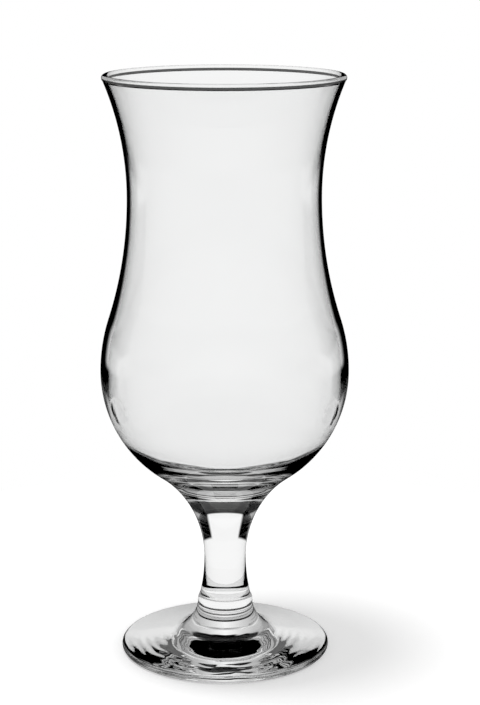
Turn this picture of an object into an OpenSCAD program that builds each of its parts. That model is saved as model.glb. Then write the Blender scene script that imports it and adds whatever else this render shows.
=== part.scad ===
// Stemmed hurricane glass: a waisted bowl, a solid stem, a joining collar and a round foot.
// Every piece is turned about the upright axis. The origin is the centre of the foot's underside.

/* [Glass] */
// Height of the whole glass, from the table to the top of the lip
glass_h = 200; // [190:1:215]

/* [Bowl outside] */
// Outer diameter at the lip
rim_d = 81; // [76:0.5:86]
// Thickness of the swollen, rounded lip
lip_t = 2.3; // [1.9:0.1:3]
// Thickness of the wall just under the lip
rim_wall = 1.5; // [1.1:0.1:1.8]
// Outer diameter at the waist, the narrowest place of the bowl
waist_d = 65.2; // [60:0.2:70]
// Height of the waist above the table
waist_h = 160; // [152:1:168]
// Outer diameter at the belly, the widest place of the bowl
belly_d = 84.6; // [80:0.2:90]
// Height of the belly above the table
belly_h = 99.5; // [96:0.5:104]
// Radius of the belly's outline above its widest place
belly_top_r = 58; // [45:1:75]
// Radius of the belly's outline below its widest place
belly_low_r = 43; // [39:0.5:46]

/* [Bowl inside] */
// Thickness of the wall at the waist
waist_wall = 1.5; // [1.1:0.1:2.5]
// Thickness of the wall at the belly
belly_wall = 2.6; // [2:0.1:3.2]
// Thickness of the wall at the corner below the belly, where it is thinnest
corner_wall = 0.7; // [0.6:0.1:1.2]
// Angle of the corner below the belly, seen from the centre of the belly's lower arc
corner_turn = 32; // [27:0.5:37]
// Radius of the inside at the corner, where its side turns into its bottom
corner_r = 21; // [18:0.5:24]
// Thickness of the bottom, measured to the circle of the belly's lower arc
bottom_t = 6.3; // [5.5:0.1:7.5]

/* [Stem] */
// Diameter of the stem at its narrowest place
stem_d = 14.4; // [11:0.2:18]
// Height of the stem's narrowest place above the table
stem_h = 33; // [29:0.5:37]
// Thickness of glass between the lowest point of the inside and the fused joint with the stem
joint_t = 5.4; // [4:0.1:7]
// Radius of the stem's outline below its narrowest place
stem_low_r = 59; // [40:1:90]

/* [Collar] */
// Height of the collar between the stem and the foot
collar_t = 3; // [2:0.1:4.5]
// Radius of the collar's bulging outline
collar_bulge_r = 4; // [3:0.5:10]

/* [Foot] */
// Diameter of the foot
foot_d = 72.4; // [66:0.2:80]
// Thickness of the foot's rounded edge
foot_edge_t = 3; // [2:0.1:4]
// Slope of the foot's upper face, in degrees
foot_slope = 12; // [6:0.5:14]
// Radius of the hollow curve between the foot's neck and its upper face
foot_curve_r = 11.3; // [9:0.1:14]
// Diameter of the foot's neck, where the collar sits
neck_d = 19; // [18:0.2:23]
// Height of the foot's neck above the table
neck_h = 16.3; // [15:0.1:18]
// Width of the flat ring on which the glass stands
rest_w = 4.5; // [3:0.1:8]
// Depth of the hollow in the foot's underside
hollow_t = 0.9; // [0.4:0.1:1.8]

/* [Hidden] */
$fn = 180;
// Straight steps that stand for each arc of an outline
arc_steps = 12;

rim_r = rim_d / 2;
lip_r = lip_t / 2;
lip_h = glass_h - lip_r;
lip_axis = rim_r - lip_r;
lip_drop = half_chord(lip_r, rim_wall / 2);
lip_low_h = lip_h - lip_drop;
lip_turn = asin(lip_drop / lip_r);
waist_r = waist_d / 2;
belly_r = belly_d / 2;
stem_r = stem_d / 2;
neck_r = neck_d / 2;
collar_top_h = neck_h + collar_t;

// Radius of an arc that starts upright and has moved sideways by out after the height up
function rise_r(out, up) = (up * up + out * out) / (2 * out);
// Half the width of a circle of radius r at the distance up from its centre
function half_chord(r, up) = sqrt(r * r - up * up);
// Points along an arc about (axis, h), without its last one, where the next arc begins
function arc(axis, h, r, from, to) = [
    for (i = [0:arc_steps - 1])
        let (a = from + (to - from) * i / arc_steps)
            [axis + r * cos(a), h + r * sin(a)]
];

// Outside of the bowl: a flare above the waist, then two arcs that meet with one slope.
rim_out_r = lip_axis + rim_wall / 2;
flare_r = rise_r(rim_out_r - waist_r, lip_low_h - waist_h);
flare_turn = asin((lip_low_h - waist_h) / flare_r);
waist_to_belly_r = rise_r(belly_r - waist_r, waist_h - belly_h);
waist_low_r = waist_to_belly_r - belly_top_r;
bend = asin((waist_h - belly_h) / waist_to_belly_r);

// The belly's lower arc turns into the stem's flare, which ends upright at the narrowest place.
belly_low_axis = belly_r - belly_low_r;
stem_reach = stem_r - belly_low_axis;
stem_drop = belly_h - stem_h;
stem_top_r = (stem_reach * stem_reach + stem_drop * stem_drop - belly_low_r * belly_low_r)
    / (2 * (belly_low_r - stem_reach));
stem_axis = stem_r + stem_top_r;
turn = asin(stem_drop / (belly_low_r + stem_top_r));
cavity_h = belly_h - belly_low_r + bottom_t;
stem_top_h = cavity_h - joint_t;
joint_turn = asin((stem_top_h - stem_h) / stem_top_r);
joint_r = stem_axis - stem_top_r * cos(joint_turn);
stem_end_r = stem_r + stem_low_r - half_chord(stem_low_r, stem_h - collar_top_h);

// Inside of the bowl: the outside less the wall, down to the belly.
in_waist_r = waist_r - waist_wall;
in_belly_r = belly_r - belly_wall;
in_flare_r = rise_r(lip_axis - rim_wall / 2 - in_waist_r, lip_low_h - waist_h);
in_flare_turn = asin((lip_low_h - waist_h) / in_flare_r);
in_waist_to_belly_r = rise_r(in_belly_r - in_waist_r, waist_h - belly_h);
in_belly_top_r = belly_top_r - belly_wall;
in_waist_low_r = in_waist_to_belly_r - in_belly_top_r;
in_bend = asin((waist_h - belly_h) / in_waist_to_belly_r);

// Below the belly the inside is three arcs that touch: a steep side, the corner, and a wide bottom.
corner_reach = belly_low_r - corner_wall - corner_r;
corner_axis = belly_low_axis + corner_reach * cos(corner_turn);
corner_drop = corner_reach * sin(corner_turn);
corner_axis_h = belly_h - corner_drop;
side_lean = in_belly_r - corner_axis;
side_r = (side_lean * side_lean + corner_drop * corner_drop - corner_r * corner_r)
    / (2 * (side_lean - corner_r));
side_turn = asin(corner_drop / (side_r - corner_r));
corner_rise = corner_axis_h - cavity_h;
cavity_low_r = (corner_axis * corner_axis + corner_rise * corner_rise - corner_r * corner_r)
    / (2 * (corner_rise - corner_r));
cavity_low_h = cavity_h + cavity_low_r;
cavity_turn = acos(corner_axis / (cavity_low_r - corner_r));

// The collar bulges between the stem's end and the foot's neck.
collar_lean = neck_r - stem_end_r;
collar_chord = norm([collar_lean, collar_t]);
collar_in = half_chord(collar_bulge_r, collar_chord / 2);
collar_axis = (neck_r + stem_end_r) / 2 - collar_in * collar_t / collar_chord;
collar_axis_h = neck_h + collar_t / 2 - collar_in * collar_lean / collar_chord;

// The foot's hollow curve passes through the neck's edge and touches the sloping face.
foot_r = foot_d / 2;
foot_edge_r = foot_edge_t / 2;
foot_edge_axis = foot_r - foot_edge_r;
slope = tan(foot_slope);
slope_share = 1 + slope * slope;
face_h = foot_edge_r + foot_edge_axis * slope + foot_edge_r / cos(foot_slope);
curve_lift = face_h + foot_curve_r / cos(foot_slope) - neck_h;
curve_mid = neck_r + slope * curve_lift;
curve_square = neck_r * neck_r + curve_lift * curve_lift - foot_curve_r * foot_curve_r;
curve_axis = (curve_mid + sqrt(curve_mid * curve_mid - slope_share * curve_square)) / slope_share;
curve_axis_h = curve_lift + neck_h - curve_axis * slope;
curve_turn = asin((curve_axis_h - neck_h) / foot_curve_r);

// The hollow underneath is one shallow arc inside the flat ring.
hollow_r = foot_edge_axis - rest_w;
hollow_arc_r = rise_r(hollow_t, hollow_r);
hollow_turn = asin(hollow_r / hollow_arc_r);

// Blown bowl with a swollen lip. Its outline runs up the outside and down the inside.
module bowl() {
    color("lightcyan", 0.4)
        rotate_extrude()
            polygon(concat(
                [[0, stem_top_h]],
                arc(stem_axis, stem_h, stem_top_r, 180 - joint_turn, 180 - turn),
                arc(belly_low_axis, belly_h, belly_low_r, -turn, 0),
                arc(belly_r - belly_top_r, belly_h, belly_top_r, 0, bend),
                arc(waist_r + waist_low_r, waist_h, waist_low_r, 180 + bend, 180),
                arc(waist_r + flare_r, waist_h, flare_r, 180, 180 - flare_turn),
                arc(lip_axis, lip_h, lip_r, -lip_turn, 180 + lip_turn),
                arc(in_waist_r + in_flare_r, waist_h, in_flare_r, 180 - in_flare_turn, 180),
                arc(in_waist_r + in_waist_low_r, waist_h, in_waist_low_r, 180, 180 + in_bend),
                arc(in_belly_r - in_belly_top_r, belly_h, in_belly_top_r, in_bend, 0),
                arc(in_belly_r - side_r, belly_h, side_r, 0, -side_turn),
                arc(corner_axis, corner_axis_h, corner_r, -side_turn, -cavity_turn),
                arc(0, cavity_low_h, cavity_low_r, -cavity_turn, -90),
                [[0, cavity_h]]
            ));
}

// Solid stem, flared at its top to the width of the bowl's joint face
module stem() {
    color("azure", 0.5)
        rotate_extrude()
            polygon(concat(
                [[0, collar_top_h]],
                arc(stem_r + stem_low_r, stem_h, stem_low_r,
                    180 + asin((stem_h - collar_top_h) / stem_low_r), 180),
                arc(stem_axis, stem_h, stem_top_r, 180, 180 - joint_turn),
                [[joint_r, stem_top_h], [0, stem_top_h]]
            ));
}

// Bulging ring of glass that joins the stem to the foot
module collar() {
    color("lightblue", 0.6)
        rotate_extrude()
            polygon(concat(
                [[0, neck_h]],
                arc(collar_axis, collar_axis_h, collar_bulge_r,
                    atan2(neck_h - collar_axis_h, neck_r - collar_axis),
                    atan2(collar_top_h - collar_axis_h, stem_end_r - collar_axis)),
                [[stem_end_r, collar_top_h], [0, collar_top_h]]
            ));
}

// Round foot with a hollow curve up to its neck and a slightly hollow underside
module foot() {
    color("lightcyan", 0.5)
        rotate_extrude()
            polygon(concat(
                arc(0, hollow_t - hollow_arc_r, hollow_arc_r, 90, 90 - hollow_turn),
                [[hollow_r, 0]],
                arc(foot_edge_axis, foot_edge_r, foot_edge_r, -90, 90 - foot_slope),
                [[foot_edge_axis + foot_edge_r * sin(foot_slope),
                    foot_edge_r + foot_edge_r * cos(foot_slope)]],
                arc(curve_axis, curve_axis_h, foot_curve_r, 270 - foot_slope, 180 + curve_turn),
                [[neck_r, neck_h], [0, neck_h]]
            ));
}

bowl();
stem();
collar();
foot();
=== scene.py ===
# %% [markdown]
# # A stemmed hurricane glass
#
# This is a bar glass of clear pressed and blown glass. A flared lip narrows to a waist, swells to a belly and
# closes in a rounded bottom. Below it come a short solid stem, a collar and a round foot.
# Every part is round about one upright axis, so each piece is an outline made of arcs and turned once round.
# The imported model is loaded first, because it says where each piece begins and ends.

from math import acos, asin, ceil, cos, hypot, pi, radians, sin, sqrt, tan

import bmesh
import bpy
from mathutils import Euler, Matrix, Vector


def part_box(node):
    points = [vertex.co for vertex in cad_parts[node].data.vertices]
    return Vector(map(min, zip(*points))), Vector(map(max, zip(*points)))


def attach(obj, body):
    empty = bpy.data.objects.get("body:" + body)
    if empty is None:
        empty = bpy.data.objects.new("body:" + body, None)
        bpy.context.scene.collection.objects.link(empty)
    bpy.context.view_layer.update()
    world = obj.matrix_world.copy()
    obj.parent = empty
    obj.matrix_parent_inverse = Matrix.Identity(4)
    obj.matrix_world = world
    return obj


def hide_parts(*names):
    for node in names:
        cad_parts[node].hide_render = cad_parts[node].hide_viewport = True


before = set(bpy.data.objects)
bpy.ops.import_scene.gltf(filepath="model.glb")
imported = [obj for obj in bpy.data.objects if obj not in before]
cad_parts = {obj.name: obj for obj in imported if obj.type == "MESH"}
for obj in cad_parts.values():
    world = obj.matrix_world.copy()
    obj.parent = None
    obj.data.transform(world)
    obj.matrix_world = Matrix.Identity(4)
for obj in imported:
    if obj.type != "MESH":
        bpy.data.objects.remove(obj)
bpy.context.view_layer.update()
print("Packed pieces:", sorted(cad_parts))

# %% [markdown]
# ## Sizes
#
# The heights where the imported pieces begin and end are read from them, so the surfaces made here end exactly
# where those do. The other sizes are written once, in millimetres, as on a workshop drawing. Walls and inner
# curves, which clear glass hides, are the maker's own choices.

# %% Sizes read from the frame and from the drawing
MM = 0.001

bowl_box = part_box("bowl")
stem_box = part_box("stem")
collar_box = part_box("collar")
foot_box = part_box("foot")

glass_top = bowl_box[1].z
joint_height = stem_box[1].z
collar_top = collar_box[1].z
neck_height = foot_box[1].z

rim_radius = 40.5 * MM
lip_thickness = 2.3 * MM
rim_wall = 1.5 * MM
waist_radius = 32.6 * MM
waist_height = 160 * MM
waist_wall = 1.5 * MM
belly_radius = 42.3 * MM
belly_height = 99.5 * MM
belly_upper_curve = 58 * MM
belly_lower_curve = 43 * MM
belly_wall = 2.6 * MM
corner_wall = 0.7 * MM
corner_angle = radians(32)
corner_curve = 21 * MM
bottom_thickness = 6.3 * MM
stem_radius = 7.2 * MM
stem_height = 33 * MM
stem_lower_curve = 59 * MM
collar_curve = 4 * MM
foot_radius = 36.2 * MM
foot_edge_radius = 1.5 * MM
foot_slope = radians(12)
foot_neck_curve = 11.3 * MM
neck_radius = 9.5 * MM
rest_ring_width = 4.5 * MM
hollow_depth = 0.9 * MM
print("The glass is", round(glass_top / MM, 1), "mm high")
print("The stem joins the bowl at", round(joint_height / MM, 1), "mm")

# %% [markdown]
# ## The turned outline
#
# On the real glass the mould and the blowing iron give every surface a smooth sweep. An arc can be made by
# placing points with sines and cosines, or by letting Blender's spin tool swing one vertex round a centre.
# The spin is used here: it reads like a compass on the drawing, and arcs that share a tangent join smoothly.
# A step is short enough in length and in angle, so that large and small arcs both look round.

# %% A compass that draws outlines
ARC_STEP = 1.5 * MM
ARC_TURN = radians(4)
ROUND_STEPS = 256
JOIN_GAP = 0.002 * MM


class Outline:
    """Half of a turned piece's section, drawn in the plane of X and Z."""

    def __init__(self, radius, height):
        self.mesh = bmesh.new()
        self.tip = self.mesh.verts.new((radius, 0, height))

    def line(self, radius, height):
        """Draws a straight edge to the given radius and height."""
        grown = bmesh.ops.extrude_vert_indiv(self.mesh, verts=[self.tip])
        self.tip = grown["verts"][0]
        self.tip.co = (radius, 0, height)

    def arc(self, centre_radius, centre_height, turn, finer=1):
        """Swings the tip round a centre. A positive turn goes from outwards to upwards."""
        reach = hypot(self.tip.co.x - centre_radius, self.tip.co.z - centre_height)
        steps = ceil(finer * max(abs(turn) * reach / ARC_STEP, abs(turn) / ARC_TURN))
        grown = bmesh.ops.spin(self.mesh, geom=[self.tip], cent=(centre_radius, 0, centre_height),
                               axis=(0, -1, 0), angle=turn, steps=steps)
        self.tip = grown["geom_last"][0]


def half_chord(radius, up):
    """Half the width of a circle at a distance from its centre."""
    return sqrt(radius * radius - up * up)


def rise_radius(out, up):
    """Radius of an arc that starts upright and has moved sideways by out after the height up."""
    return (up * up + out * out) / (2 * out)


print("A step of an arc is at most", ARC_STEP / MM, "mm long")

# %% [markdown]
# ## From outline to glass piece
#
# A turned piece can be made with a Screw modifier, or by turning the outline at once. It is turned at once
# here, so that the faces exist and can be sorted by height. The points on the axis meet in one pole, so they
# are merged, and the normals are then turned outwards. Where two pieces are fused, as the bowl is on its
# stem, light meets no surface on the real glass. So the flat faces that touch there get a second material,
# which lets light pass straight through.

# %% Turn an outline into a piece
CREASE = radians(14)


def turned_piece(name, outline, fused_heights, materials):
    """Turns the outline round the axis and makes a piece with clear and fused faces."""
    mesh = outline.mesh
    bmesh.ops.spin(mesh, geom=mesh.verts[:] + mesh.edges[:], cent=(0, 0, 0), axis=(0, 0, 1), angle=2 * pi,
                   steps=ROUND_STEPS, use_merge=True)
    bmesh.ops.remove_doubles(mesh, verts=mesh.verts, dist=JOIN_GAP)
    bmesh.ops.recalc_face_normals(mesh, faces=mesh.faces)
    for face in mesh.faces:
        face.smooth = True
        low = min(corner.co.z for corner in face.verts)
        high = max(corner.co.z for corner in face.verts)
        for height in fused_heights:
            if max(abs(low - height), abs(high - height)) < JOIN_GAP:
                face.material_index = 1
    for edge in mesh.edges:
        edge.smooth = edge.calc_face_angle(0) < CREASE
    data = bpy.data.meshes.new(name)
    mesh.to_mesh(data)
    mesh.free()
    piece = bpy.data.objects.new(name, data)
    bpy.context.scene.collection.objects.link(piece)
    for material in materials:
        data.materials.append(material)
    triangles = sum(len(face.vertices) - 2 for face in data.polygons)
    print(name, "has", triangles, "triangles")
    return piece


print("A piece is turned in", ROUND_STEPS, "steps")

# %% [markdown]
# ## Helpers for shader nodes
#
# A node can be added, set and wired in three steps. One helper does all three, so that a material below reads
# as a list of what feeds what. A second one does sums, and a third eases a value between two levels, without
# a hard edge.

# %% Add a node, work out a sum, ease a value
def add(tree, kind, inputs=None, **settings):
    """Adds a node, sets its properties, and fills or links its inputs."""
    node = tree.nodes.new(kind)
    for key, value in settings.items():
        setattr(node, key, value)
    for key, value in (inputs or {}).items():
        if isinstance(value, bpy.types.NodeSocket):
            tree.links.new(value, node.inputs[key])
        else:
            node.inputs[key].default_value = value
    return node


def calc(tree, operation, *values):
    """Adds a node that works out one sum, and returns its result."""
    return add(tree, "ShaderNodeMath", dict(enumerate(values)), operation=operation).outputs[0]


def ease(tree, value, span, start=0.0, end=1.0):
    """Goes softly from start to end while the value crosses the span."""
    inputs = {"Value": value, "From Min": span[0], "From Max": span[1], "To Min": start, "To Max": end}
    return add(tree, "ShaderNodeMapRange", inputs, interpolation_type="SMOOTHSTEP").outputs["Result"]


# %% [markdown]
# ## The skin of the glass
#
# Pressed and blown glass is never perfectly even. The skin waves a little where it cooled against the mould,
# hands and cloths leave a faint haze, and the colour shifts by a trace from place to place. A painted picture
# could show that, but noise in the piece's own coordinates works at any size. All four pieces need it, so it
# is one node group, and each material says how much it wants. Rings round the axis stand for the marks that
# turning leaves in the mould of a pressed piece.

# %% A node group for tint, haze and waves
CLEAR_TINT = (0.997, 0.998, 0.998, 1)
COOL_TINT = (0.989, 0.993, 0.992, 1)
CLOUD = {"Scale": 35.0, "Detail": 2.0}
SMEAR = {"Scale": 90.0, "Detail": 5.0, "Distortion": 1.5}
HAZE_SPAN = (0.62, 0.8)
RINGS = {"Distortion": 6.0, "Detail": 2.0, "Detail Scale": 0.6}


def new_group(name, inputs, outputs):
    """Makes a node group with named sockets, and returns it with its entry and exit nodes."""
    group = bpy.data.node_groups.new(name, "ShaderNodeTree")
    for label, value in inputs.items():
        group.interface.new_socket(label, in_out="INPUT", socket_type="NodeSocketFloat").default_value = value
    for label, kind in outputs.items():
        group.interface.new_socket(label, in_out="OUTPUT", socket_type=kind)
    return group, group.nodes.new("NodeGroupInput"), group.nodes.new("NodeGroupOutput")


def glass_skin():
    """Colour, roughness and a height for bumps, from noise and rings in the piece's own coordinates."""
    group, entry, exit_node = new_group(
        "glass_skin", {"Wave Scale": 60.0, "Haze": 0.0, "Ring Scale": 100.0, "Ring Share": 0.0},
        {"Tint": "NodeSocketColor", "Roughness": "NodeSocketFloat", "Height": "NodeSocketFloat"})
    place = add(group, "ShaderNodeTexCoord").outputs["Object"]
    cloud = add(group, "ShaderNodeTexNoise", {"Vector": place, **CLOUD}).outputs["Fac"]
    tint = add(group, "ShaderNodeMix", {0: cloud, 6: CLEAR_TINT, 7: COOL_TINT}, data_type="RGBA")
    smear = add(group, "ShaderNodeTexNoise", {"Vector": place, **SMEAR}).outputs["Fac"]
    haze = calc(group, "MULTIPLY", ease(group, smear, HAZE_SPAN), entry.outputs["Haze"])
    wave_inputs = {"Vector": place, "Scale": entry.outputs["Wave Scale"], "Detail": 1.0}
    wave = add(group, "ShaderNodeTexNoise", wave_inputs).outputs["Fac"]
    ring_inputs = {"Vector": place, "Scale": entry.outputs["Ring Scale"], **RINGS}
    rings = add(group, "ShaderNodeTexWave", ring_inputs, wave_type="RINGS", rings_direction="Z")
    height = add(group, "ShaderNodeMix", {0: entry.outputs["Ring Share"], 2: wave, 3: rings.outputs["Fac"]})
    group.links.new(tint.outputs[2], exit_node.inputs["Tint"])
    group.links.new(haze, exit_node.inputs["Roughness"])
    group.links.new(height.outputs[0], exit_node.inputs["Height"])
    return group


skin_group = glass_skin()
skin_sockets = skin_group.interface.items_tree
print("The skin group gives", [socket.name for socket in skin_sockets if socket.in_out == "OUTPUT"])

# %% [markdown]
# ## Painted dark lines round the glass
#
# A thick fire-polished bead and a sharp mould line bend the view so far that they look black from the side
# that faces the viewer. Finer geometry could show that in part, but the line would be thinner than a pixel.
# Here a node group finds a band at a given height, and the material paints shade there: it darkens the glass's
# colour to stand in for that black. The far side of a line is seen through the glass from within, where
# Backfacing is 1, and stays clear as on the real one.

# %% A node group for a band at one height
def height_band():
    """A mask that is 1 in a band round the upright axis and fades at its edges."""
    group, entry, exit_node = new_group(
        "height_band", {"Centre": 0.0, "Half Width": 0.0003, "Softness": 0.0001},
        {"Mask": "NodeSocketFloat"})
    place = add(group, "ShaderNodeTexCoord").outputs["Object"]
    height = add(group, "ShaderNodeSeparateXYZ", {0: place}).outputs["Z"]
    away = calc(group, "ABSOLUTE", calc(group, "SUBTRACT", height, entry.outputs["Centre"]))
    end = calc(group, "ADD", entry.outputs["Half Width"], entry.outputs["Softness"])
    mask = ease(group, away, (entry.outputs["Half Width"], end), 1.0, 0.0)
    group.links.new(mask, exit_node.inputs["Mask"])
    return group


band_group = height_band()
print("The band group has", len(band_group.nodes), "nodes")

# %% [markdown]
# ## Clear glass
#
# Soda-lime glass bends light with an index of about 1.52 and is nearly colourless. The Principled shader with
# full transmission gives it. The skin group feeds its colour, its roughness and a Bump node, and the bands
# paint dark lines of shade into the colour. A mark is a round dent, and its depth is counted in heights of the
# waves.

# %% Glass materials
GLASS_INDEX = 1.52
SHADE_LINE_COLOUR = (0.01, 0.01, 0.01, 1)
MARK_SIZE = 6 * MM


def paint_shade_lines(tree, colour, shade_bands):
    """Paints shade into the colour: darkens it in each band, on the side that faces the viewer."""
    facing = calc(tree, "SUBTRACT", 1.0, add(tree, "ShaderNodeNewGeometry").outputs["Backfacing"])
    for centre, half_width, softness, strength in shade_bands:
        band = add(tree, "ShaderNodeGroup", node_tree=band_group)
        band.inputs["Centre"].default_value = centre
        band.inputs["Half Width"].default_value = half_width
        band.inputs["Softness"].default_value = softness
        share = calc(tree, "MULTIPLY", calc(tree, "MULTIPLY", band.outputs["Mask"], strength), facing)
        # Painted shade: in the band the glass's colour is mixed towards near black.
        mixed = add(tree, "ShaderNodeMix", {0: share, 6: colour, 7: SHADE_LINE_COLOUR}, data_type="RGBA")
        colour = mixed.outputs[2]
    return colour


def marked_height(tree, height, marks):
    """Adds a round dent to the height at each marked place."""
    place = add(tree, "ShaderNodeTexCoord").outputs["Object"]
    for spot, depth in marks:
        away = add(tree, "ShaderNodeVectorMath", {0: place, 1: spot}, operation="DISTANCE").outputs["Value"]
        height = calc(tree, "SUBTRACT", height, ease(tree, away, (0.0, MARK_SIZE), depth, 0.0))
    return height


def clear_glass(name, wave_height, haze=0.0, wave_scale=60.0, ring_share=0.0, shade_bands=(), marks=()):
    """Clear glass with its own strength of waves and haze, and its own painted dark lines of shade."""
    material = bpy.data.materials.new(name)
    material.use_nodes = True
    tree = material.node_tree
    shader = tree.nodes["Principled BSDF"]
    shader.inputs["IOR"].default_value = GLASS_INDEX
    shader.inputs["Transmission Weight"].default_value = 1.0
    skin = add(tree, "ShaderNodeGroup", node_tree=skin_group)
    skin.inputs["Wave Scale"].default_value = wave_scale
    skin.inputs["Haze"].default_value = haze
    skin.inputs["Ring Share"].default_value = ring_share
    colour = paint_shade_lines(tree, skin.outputs["Tint"], shade_bands)
    height = marked_height(tree, skin.outputs["Height"], marks)
    bump = add(tree, "ShaderNodeBump", {"Height": height, "Strength": 1.0, "Distance": wave_height})
    tree.links.new(colour, shader.inputs["Base Color"])
    tree.links.new(skin.outputs["Roughness"], shader.inputs["Roughness"])
    tree.links.new(bump.outputs["Normal"], shader.inputs["Normal"])
    print(name, "has", len(shade_bands), "dark lines and", len(marks), "marks")
    return material


# %% [markdown]
# ## Fused joints
#
# The faces where two pieces touch are inside one body of glass, so they must not bend light. A Transparent
# shader lets it straight through. The foot in the photograph has a black heart: light that is mirrored in it
# and climbs steeply into the neck meets nothing bright up there. The joint in the neck paints that shade: it
# takes that light away. Glossy Depth counts the reflections, and Layer Weight tells steep light from level
# light.

# %% Joint materials
# Painted shade: the neck joint takes this share of steep mirrored light away.
NECK_PAINTED_SHADE = 0.98
STEEP_FACING = (0.7, 0.9)


def fused_joint(name, loss):
    """Faces inside the glass, where two pieces melted into one; a loss above 0 paints shade by taking away
    steep mirrored light.
    """
    material = bpy.data.materials.new(name)
    material.use_nodes = True
    tree = material.node_tree
    tree.nodes.remove(tree.nodes["Principled BSDF"])
    facing = add(tree, "ShaderNodeLayerWeight").outputs["Facing"]
    mirrored = add(tree, "ShaderNodeLightPath").outputs["Glossy Depth"]
    kept = ease(tree, facing, STEEP_FACING, 1 - loss, 1.0)
    level = add(tree, "ShaderNodeMapRange", {"Value": mirrored, "To Min": 1.0, "To Max": kept})
    shader = add(tree, "ShaderNodeBsdfTransparent", {"Color": level.outputs["Result"]})
    tree.links.new(shader.outputs["BSDF"], tree.nodes["Material Output"].inputs["Surface"])
    print(name, "takes away", loss, "of steep mirrored light")
    return material


bowl_joint = fused_joint("bowl_joint", 0.0)
neck_joint = fused_joint("neck_joint", NECK_PAINTED_SHADE)

# %% [markdown]
# ## The glass of each piece
#
# A painted dark line is given by its height, half its width, how softly it ends and how dark it is. One runs
# under the bead of the lip. Two stand at the ends of the collar, on its mould lines, and a faint one just
# below,
# on the foot: all are painted shade for the black that the bending gives. The bowl is blown, so its waves are
# long and low. The foot is pressed, so it has finer waves and rings. Two marks sit low on the belly, left and
# right, where the photograph shows a fold in the glass.

# %% Painted shade lines, marks and materials of the four pieces
# Painted shade: each line darkens the glass's colour in a band at one height.
LIP_SHADE_LINE = (glass_top - 1.45 * MM, 0.4 * MM, 0.08 * MM, 1.0)
COLLAR_SHADE_LINE = (collar_top, 0.09 * MM, 0.1 * MM, 0.6)
NECK_SHADE_LINE = (neck_height, 0.3 * MM, 0.1 * MM, 1.0)
FOOT_SHADE_LINE = (neck_height - 2.4 * MM, 0.08 * MM, 0.12 * MM, 0.35)
MARK_DEPTH = 20.0
LEFT_MARK = ((-36 * MM, -21.4 * MM, 90 * MM), MARK_DEPTH)
RIGHT_MARK = ((36.3 * MM, -21 * MM, 89 * MM), MARK_DEPTH)

bowl_material = clear_glass("bowl_clear", 0.03 * MM, haze=0.012, shade_bands=[LIP_SHADE_LINE],
                            marks=[LEFT_MARK, RIGHT_MARK])
stem_material = clear_glass("stem_clear", 0.02 * MM, haze=0.01, shade_bands=[COLLAR_SHADE_LINE])
collar_material = clear_glass("collar_clear", 0.01 * MM, haze=0.01, shade_bands=[COLLAR_SHADE_LINE, NECK_SHADE_LINE])
foot_material = clear_glass("foot_clear", 0.035 * MM, haze=0.02, wave_scale=110.0, ring_share=0.3,
                            shade_bands=[NECK_SHADE_LINE, FOOT_SHADE_LINE])

# %% [markdown]
# ## The bowl
#
# The bowl is blown, so its outside is a chain of sweeps: from the stem outwards, round the belly, in to the
# waist and out to the lip. The fire-polished bead on top is a half circle and a bit more. The inside follows
# with a thin wall above, and turns a tighter corner over a thick bottom. A surface with a Solidify modifier
# would give an even wall, but a blown bowl is thick below and thin above. So one closed outline holds both
# sides. Where two arcs meet they share a tangent, which gives each centre and angle by Pythagoras.

# %% Bowl
lip_radius = lip_thickness / 2
lip_height = glass_top - lip_radius
lip_axis = rim_radius - lip_radius
lip_drop = half_chord(lip_radius, rim_wall / 2)
lip_turn = asin(lip_drop / lip_radius)
lip_rise = lip_height - lip_drop - waist_height
waist_rise = waist_height - belly_height

belly_lower_axis = belly_radius - belly_lower_curve
stem_reach = stem_radius - belly_lower_axis
stem_drop = belly_height - stem_height
stem_upper_curve = ((stem_reach ** 2 + stem_drop ** 2 - belly_lower_curve ** 2)
                    / (2 * (belly_lower_curve - stem_reach)))
stem_axis = stem_radius + stem_upper_curve
bowl_turn = asin(stem_drop / (belly_lower_curve + stem_upper_curve))
joint_turn = asin((joint_height - stem_height) / stem_upper_curve)
joint_radius = stem_axis - stem_upper_curve * cos(joint_turn)


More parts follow.
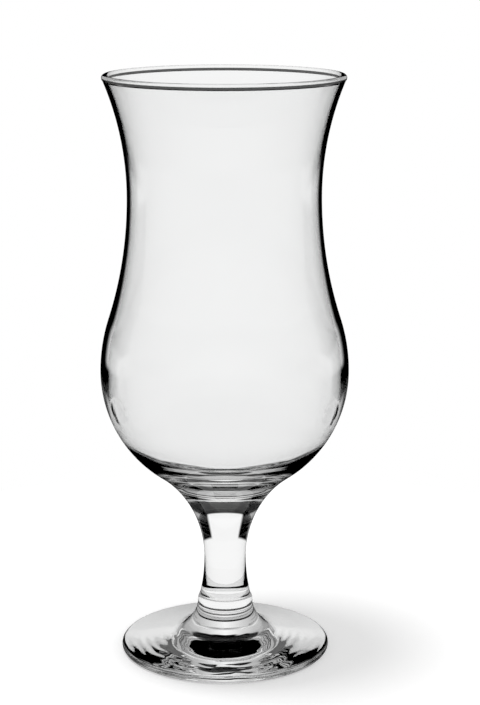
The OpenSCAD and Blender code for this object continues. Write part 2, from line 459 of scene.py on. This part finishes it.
def bowl_outline():
    """Up the outside, over the lip and down the inside."""
    flare = rise_radius(lip_axis + rim_wall / 2 - waist_radius, lip_rise)
    sweep = rise_radius(belly_radius - waist_radius, waist_rise)
    bend = asin(waist_rise / sweep)
    inner_waist = waist_radius - waist_wall
    inner_belly = belly_radius - belly_wall
    inner_flare = rise_radius(lip_axis - rim_wall / 2 - inner_waist, lip_rise)
    inner_sweep = rise_radius(inner_belly - inner_waist, waist_rise)
    inner_bend = asin(waist_rise / inner_sweep)
    inner_belly_curve = belly_upper_curve - belly_wall
    corner_reach = belly_lower_curve - corner_wall - corner_curve
    corner_axis = belly_lower_axis + corner_reach * cos(corner_angle)
    corner_drop = corner_reach * sin(corner_angle)
    lean = inner_belly - corner_axis
    side_curve = (lean ** 2 + corner_drop ** 2 - corner_curve ** 2) / (2 * (lean - corner_curve))
    side_turn = asin(corner_drop / (side_curve - corner_curve))
    inside_bottom = belly_height - belly_lower_curve + bottom_thickness
    rise = belly_height - corner_drop - inside_bottom
    bottom_curve = (corner_axis ** 2 + rise ** 2 - corner_curve ** 2) / (2 * (rise - corner_curve))
    bottom_turn = acos(corner_axis / (bottom_curve - corner_curve))

    outline = Outline(0, joint_height)
    outline.line(joint_radius, joint_height)
    outline.arc(stem_axis, stem_height, joint_turn - bowl_turn, finer=3)
    outline.arc(belly_lower_axis, belly_height, bowl_turn)
    outline.arc(belly_radius - belly_upper_curve, belly_height, bend)
    outline.arc(waist_radius + sweep - belly_upper_curve, waist_height, -bend)
    outline.arc(waist_radius + flare, waist_height, -asin(lip_rise / flare))
    outline.arc(lip_axis, lip_height, pi + 2 * lip_turn, finer=1.5)
    outline.arc(inner_waist + inner_flare, waist_height, asin(lip_rise / inner_flare))
    outline.arc(inner_waist + inner_sweep - inner_belly_curve, waist_height, inner_bend)
    outline.arc(inner_belly - inner_belly_curve, belly_height, -inner_bend)
    outline.arc(inner_belly - side_curve, belly_height, -side_turn)
    outline.arc(corner_axis, belly_height - corner_drop, side_turn - bottom_turn)
    outline.arc(0, inside_bottom + bottom_curve, bottom_turn - pi / 2)
    print("The bowl's outline ends", round(outline.tip.co.x / MM, 4), "mm from the axis")
    print("The inside of its bottom lies at", round(outline.tip.co.z / MM, 3), "mm")
    return outline


bowl = turned_piece("bowl_glass", bowl_outline(), [joint_height], [bowl_material, bowl_joint])

# %% [markdown]
# ## The stem
#
# The short solid stem carries the bowl. A cylinder with its middle squeezed would come close, but its ends
# have to meet the bowl and the collar without a step. So it is one hollow sweep below its thinnest place and
# another above, and the upper one is the same arc that starts the bowl.

# %% Stem
stem_end_radius = stem_radius + stem_lower_curve - half_chord(stem_lower_curve, stem_height - collar_top)


def stem_outline():
    """From the collar up to the joint with the bowl."""
    outline = Outline(0, collar_top)
    outline.line(stem_end_radius, collar_top)
    lower_turn = asin((stem_height - collar_top) / stem_lower_curve)
    outline.arc(stem_radius + stem_lower_curve, stem_height, -lower_turn)
    outline.arc(stem_axis, stem_height, -joint_turn, finer=3)
    outline.line(0, joint_height)
    return outline


stem = turned_piece("stem_glass", stem_outline(), [collar_top, joint_height], [stem_material, bowl_joint])

# %% [markdown]
# ## The collar
#
# Where the stem was set on the foot, a short band of glass bulges a little between two mould lines. A ring
# cut from a torus has this form, but its ends would have to be fitted. A single arc from the neck to the
# stem's end fits by itself, with its centre found from the chord between them.

# %% Collar
def collar_outline():
    """A short band that bulges between the stem's end and the foot's neck."""
    lean = neck_radius - stem_end_radius
    rise = collar_top - neck_height
    chord = hypot(lean, rise)
    inward = half_chord(collar_curve, chord / 2)
    axis = (neck_radius + stem_end_radius) / 2 - inward * rise / chord
    height = (neck_height + collar_top) / 2 - inward * lean / chord
    turn = 2 * asin(chord / 2 / collar_curve)
    outline = Outline(0, neck_height)
    outline.line(neck_radius, neck_height)
    outline.arc(axis, height, turn, finer=3)
    outline.line(0, collar_top)
    return outline


collar_faces = [neck_height, collar_top]
collar = turned_piece("collar_glass", collar_outline(), collar_faces, [collar_material, neck_joint])

# %% [markdown]
# ## The foot
#
# The foot is a shallow cone with a round edge. It sweeps up into the neck, rests on a narrow ring and is
# slightly hollow below, so that it doesn't rock. Bevels on a cone and a cylinder could make the sweep, but
# an arc keeps its radius exact. It touches the cone and ends on the neck, which gives a square equation for
# its centre.

# %% Foot
def foot_outline():
    """From the middle of the hollow underside, round the edge and up to the neck."""
    edge_axis = foot_radius - foot_edge_radius
    slope = tan(foot_slope)
    square = 1 + slope * slope
    face_height = foot_edge_radius + edge_axis * slope + foot_edge_radius / cos(foot_slope)
    lift = face_height + foot_neck_curve / cos(foot_slope) - neck_height
    middle = neck_radius + slope * lift
    reach = neck_radius ** 2 + lift ** 2 - foot_neck_curve ** 2
    curve_axis = (middle + sqrt(middle ** 2 - square * reach)) / square
    curve_height = lift + neck_height - curve_axis * slope
    curve_turn = asin((curve_height - neck_height) / foot_neck_curve)
    hollow_radius = edge_axis - rest_ring_width
    hollow_curve = rise_radius(hollow_depth, hollow_radius)
    outline = Outline(0, hollow_depth)
    outline.arc(0, hollow_depth - hollow_curve, -asin(hollow_radius / hollow_curve))
    outline.line(edge_axis, 0)
    outline.arc(edge_axis, foot_edge_radius, pi - foot_slope)
    outline.line(curve_axis - foot_neck_curve * sin(foot_slope),
                 curve_height - foot_neck_curve * cos(foot_slope))
    outline.arc(curve_axis, curve_height, curve_turn + foot_slope - pi / 2, finer=2)
    outline.line(0, neck_height)
    return outline


foot = turned_piece("foot_glass", foot_outline(), [neck_height], [foot_material, neck_joint])

# %% [markdown]
# ## Fit the pieces to the model
#
# Nothing moves, so all four pieces ride the one body. Each stands in for the imported piece of the same shape.

# %% Ride and replace
for piece, node in ((bowl, "bowl"), (stem, "stem"), (collar, "collar"), (foot, "foot")):
    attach(piece, "root")
    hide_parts(node)
    print(piece.name, "stands in for", node)

# %% [markdown]
# ## The studio round the glass
#
# Glass has no look of its own: it shows what stands round it. The photographer's white backdrop, dark gaps
# beside it and weaker cards round the sides draw the black outlines. Real cards could stand in the scene, but
# a world shader holds them in a few numbers. Light that was mirrored inside the glass reaches the soft room
# beyond, so it reads a smoother ring of levels than light that went straight through.
#
# Below the table's line, light that went straight through finds a white table all round. Mirrored light finds
# it dark behind the glass, bright in a strip beside the backdrop just under that line, and weakly lit from
# the sides round to the front. So the bowl's black outline is thin at the waist and wide at the belly.

# %% World
# Bearings are in degrees, counted from straight behind the glass, and heights in degrees above the horizon.
# Each ring lists bearings and the light level there. A pair of angles is where a change starts and ends.
STRAIGHT_RING = ((0, 1.0), (23, 1.0), (27, 0.0), (57, 0.0), (63, 0.35), (90, 0.35), (170, 0.1), (180, 0.1))
MIRRORED_RING = ((0, 1.0), (14, 0.7), (25, 0.54), (40, 0.5), (52, 0.1), (70, 0.19), (100, 0.12), (140, 0.39),
                 (180, 0.49))
CARD_TOP = (24, 28)
TABLE_LINE = (-5, -2)
FRONT_START = (57, 63)
FRONT_LEVEL = 0.35
STRIP_START = (26, 38)
STRIP_END = (57, 80)
STRIP_LINE = (-11.8, -9.8)
STRIP_LEVEL = 0.8
ROOM_LEVEL = 0.45
HALF_TURN = 180.0


def ring(tree, bearing, levels):
    """Light level round the glass, read from a list of bearings."""
    node = add(tree, "ShaderNodeValToRGB", {"Fac": calc(tree, "DIVIDE", bearing, HALF_TURN)})
    stops = node.color_ramp.elements
    stops.remove(stops[1])
    for index, (turned, level) in enumerate(levels):
        stop = stops.new(turned / HALF_TURN) if index else stops[0]
        stop.color = (level, level, level, 1)
    return node.outputs["Color"]


def blend(tree, share, a, b):
    """Goes from a to b with the share."""
    first = calc(tree, "MULTIPLY", calc(tree, "SUBTRACT", 1.0, share), a)
    return calc(tree, "ADD", first, calc(tree, "MULTIPLY", share, b))


def build_world():
    """White to the camera, lit cards and dark gaps to what the glass bends, and soft grey to the floor."""
    world = bpy.data.worlds.new("studio")
    bpy.context.scene.world = world
    world.use_nodes = True
    tree = world.node_tree
    direction = add(tree, "ShaderNodeTexCoord").outputs["Generated"]
    east, north, up = add(tree, "ShaderNodeSeparateXYZ", {0: direction}).outputs
    path = add(tree, "ShaderNodeLightPath").outputs
    bearing = calc(tree, "ABSOLUTE", calc(tree, "DEGREES", calc(tree, "ARCTAN2", east, north)))
    height = calc(tree, "DEGREES", calc(tree, "ARCSINE", up))
    mirrored = calc(tree, "MINIMUM", path["Glossy Depth"], 1.0)
    cards = blend(tree, mirrored, ring(tree, bearing, STRAIGHT_RING), ring(tree, bearing, MIRRORED_RING))
    cards = calc(tree, "MULTIPLY", cards, ease(tree, height, CARD_TOP, 1.0, 0.0))
    front = ease(tree, bearing, FRONT_START, 0.0, FRONT_LEVEL)
    strip_sides = ease(tree, bearing, STRIP_START, 0.0, STRIP_LEVEL)
    strip = calc(tree, "MULTIPLY", strip_sides, ease(tree, height, STRIP_LINE))
    strip = calc(tree, "MULTIPLY", strip, ease(tree, bearing, STRIP_END, 1.0, 0.0))
    below = blend(tree, mirrored, 1.0, calc(tree, "MAXIMUM", front, strip))
    through = calc(tree, "MULTIPLY", path["Is Transmission Ray"],
                   blend(tree, ease(tree, height, TABLE_LINE), below, cards))
    bent = calc(tree, "MAXIMUM", path["Is Glossy Ray"], path["Is Transmission Ray"])
    other = calc(tree, "SUBTRACT", 1.0, calc(tree, "MAXIMUM", path["Is Camera Ray"], bent))
    room = calc(tree, "MULTIPLY", other, ROOM_LEVEL)
    level = calc(tree, "ADD", calc(tree, "ADD", through, room), path["Is Camera Ray"])
    tree.links.new(level, tree.nodes["Background"].inputs["Strength"])
    tree.nodes["Background"].inputs["Color"].default_value = (1, 1, 1, 1)
    print("The world has", len(tree.nodes), "nodes")


build_world()

# %% [markdown]
# ## The floor
#
# The glass in the photograph stands on seamless white paper that keeps only a soft shadow. A disc of paper
# under the foot takes the lamp's shadow, and a little light of its own, for the camera alone, brings the open
# paper up to white. Through the glass the paper is plain white, and dimmer for mirrored light that comes down
# away from the axis. Light that only bounces off the skin of the glass finds it dark, which keeps the black
# lines black.

# %% Floor
FLOOR_RADIUS = 208 * MM
FLOOR_SIDES = 192
FLOOR_GAP = 0.05 * MM
PAPER = (0.8, 0.8, 0.8, 1)
PAPER_LIFT = 0.45
DULL_PAPER = (0.7, 0.7, 0.7, 1)
GRAIN = {"Scale": 900.0, "Detail": 3.0}
GRAIN_SHARE = 0.05
SHADE_SPAN = (18 * MM, 24 * MM)
SHADE_LEVEL = 0.5


def paper_material():
    """White paper that shows shadows to the camera and plain white to the glass."""
    material = bpy.data.materials.new("white_paper")
    material.use_nodes = True
    tree = material.node_tree
    tree.nodes.remove(tree.nodes["Principled BSDF"])
    path = add(tree, "ShaderNodeLightPath").outputs
    place = add(tree, "ShaderNodeTexCoord").outputs["Object"]
    grain = add(tree, "ShaderNodeTexNoise", {"Vector": place, **GRAIN}).outputs["Fac"]
    grain_share = calc(tree, "MULTIPLY", grain, GRAIN_SHARE)
    shade = add(tree, "ShaderNodeMix", {0: grain_share, 6: PAPER, 7: DULL_PAPER}, data_type="RGBA")
    matt = add(tree, "ShaderNodeBsdfDiffuse", {"Color": shade.outputs[2]})
    lift_level = calc(tree, "MULTIPLY", path["Is Camera Ray"], PAPER_LIFT)
    lift = add(tree, "ShaderNodeEmission", {"Strength": lift_level})
    lit = add(tree, "ShaderNodeAddShader", {0: matt.outputs[0], 1: lift.outputs[0]})
    reach = add(tree, "ShaderNodeVectorMath", {0: place}, operation="LENGTH").outputs["Value"]
    # Painted shade: for mirrored light the paper's glow dims to SHADE_LEVEL away from the axis, as in the
    # glass's shadow.
    shaded = ease(tree, reach, SHADE_SPAN, 1.0, SHADE_LEVEL)
    level = blend(tree, calc(tree, "MINIMUM", path["Glossy Depth"], 1.0), 1.0, shaded)
    seen_level = calc(tree, "MULTIPLY", path["Is Transmission Ray"], level)
    seen = add(tree, "ShaderNodeEmission", {"Strength": seen_level})
    bent = calc(tree, "MAXIMUM", path["Is Glossy Ray"], path["Is Transmission Ray"])
    both = add(tree, "ShaderNodeMixShader", {0: bent, 1: lit.outputs[0], 2: seen.outputs[0]})
    tree.links.new(both.outputs[0], tree.nodes["Material Output"].inputs["Surface"])
    return material


def build_floor():
    """A round sheet of white paper just under the glass."""
    mesh = bmesh.new()
    bmesh.ops.create_circle(mesh, cap_ends=True, radius=FLOOR_RADIUS, segments=FLOOR_SIDES)
    bmesh.ops.translate(mesh, verts=mesh.verts, vec=(0, 0, -FLOOR_GAP))
    bmesh.ops.recalc_face_normals(mesh, faces=mesh.faces)
    data = bpy.data.meshes.new("floor")
    mesh.to_mesh(data)
    mesh.free()
    floor = bpy.data.objects.new("floor", data)
    bpy.context.scene.collection.objects.link(floor)
    data.materials.append(paper_material())
    print("The floor reaches", round(FLOOR_RADIUS / MM), "mm from the axis")


build_floor()

# %% [markdown]
# ## The lamp
#
# The shadow in the photograph lies close on the right of the foot, so the light comes from high on the left.
# A wide disc gives it soft edges. It is hidden from mirrored and bent light, so that its shape isn't seen in
# the glass, where only the world should show.

# %% Lamp
LAMP_PLACE = (-0.11, 0.0, 1.15)
LAMP_SIZE = 0.22
LAMP_POWER = 5.5

lamp = bpy.data.lights.new("window", "AREA")
lamp.shape = "DISK"
lamp.size = LAMP_SIZE
lamp.energy = LAMP_POWER
lamp_object = bpy.data.objects.new("window", lamp)
bpy.context.scene.collection.objects.link(lamp_object)
lamp_object.location = LAMP_PLACE
lamp_object.rotation_euler = Vector(LAMP_PLACE).to_track_quat("Z", "Y").to_euler()
lamp_object.visible_glossy = False
lamp_object.visible_transmission = False
print("The lamp stands", round(Vector(LAMP_PLACE).length, 2), "m away")

# %% [markdown]
# ## The camera
#
# The ellipses of the lip and the foot give the camera's height and distance, because a closer camera opens
# the foot's ellipse more than the lip's. The lens then sets the size in the picture.

# %% Camera
CAMERA_PLACE = (0, -625.1 * MM, 250.7 * MM)
CAMERA_DIP = radians(13.057)
CAMERA_TURN = radians(0.4775)
LENS = 96.2
SENSOR = 36

camera = bpy.data.cameras.new("camera")
camera.sensor_width = SENSOR
camera.lens = LENS
camera_object = bpy.data.objects.new("camera", camera)
bpy.context.scene.collection.objects.link(camera_object)
camera_object.location = CAMERA_PLACE
camera_object.rotation_euler = Euler((pi / 2 - CAMERA_DIP, 0, -CAMERA_TURN))
bpy.context.scene.camera = camera_object
bpy.context.scene.view_settings.view_transform = "Standard"
print("The camera stands", round(Vector(CAMERA_PLACE).length, 3), "m away, with a lens of", LENS, "mm")

# %% [markdown]
# ## How far light is followed
#
# Thick glass passes light through many surfaces, so the limit for bent light is high. The limit for mirrored
# light is lower: rays that run round and round inside the rim of the foot and the bottom of the bowl then
# end dark, as they do in the photograph.

# %% Light paths
BENT_LIMIT = 24
MIRROR_LIMIT = 7

cycles = bpy.context.scene.cycles
cycles.max_bounces = BENT_LIMIT
cycles.transmission_bounces = BENT_LIMIT
cycles.glossy_bounces = MIRROR_LIMIT
cycles.transparent_max_bounces = BENT_LIMIT
print("Light is followed through", BENT_LIMIT, "surfaces and", MIRROR_LIMIT, "reflections")
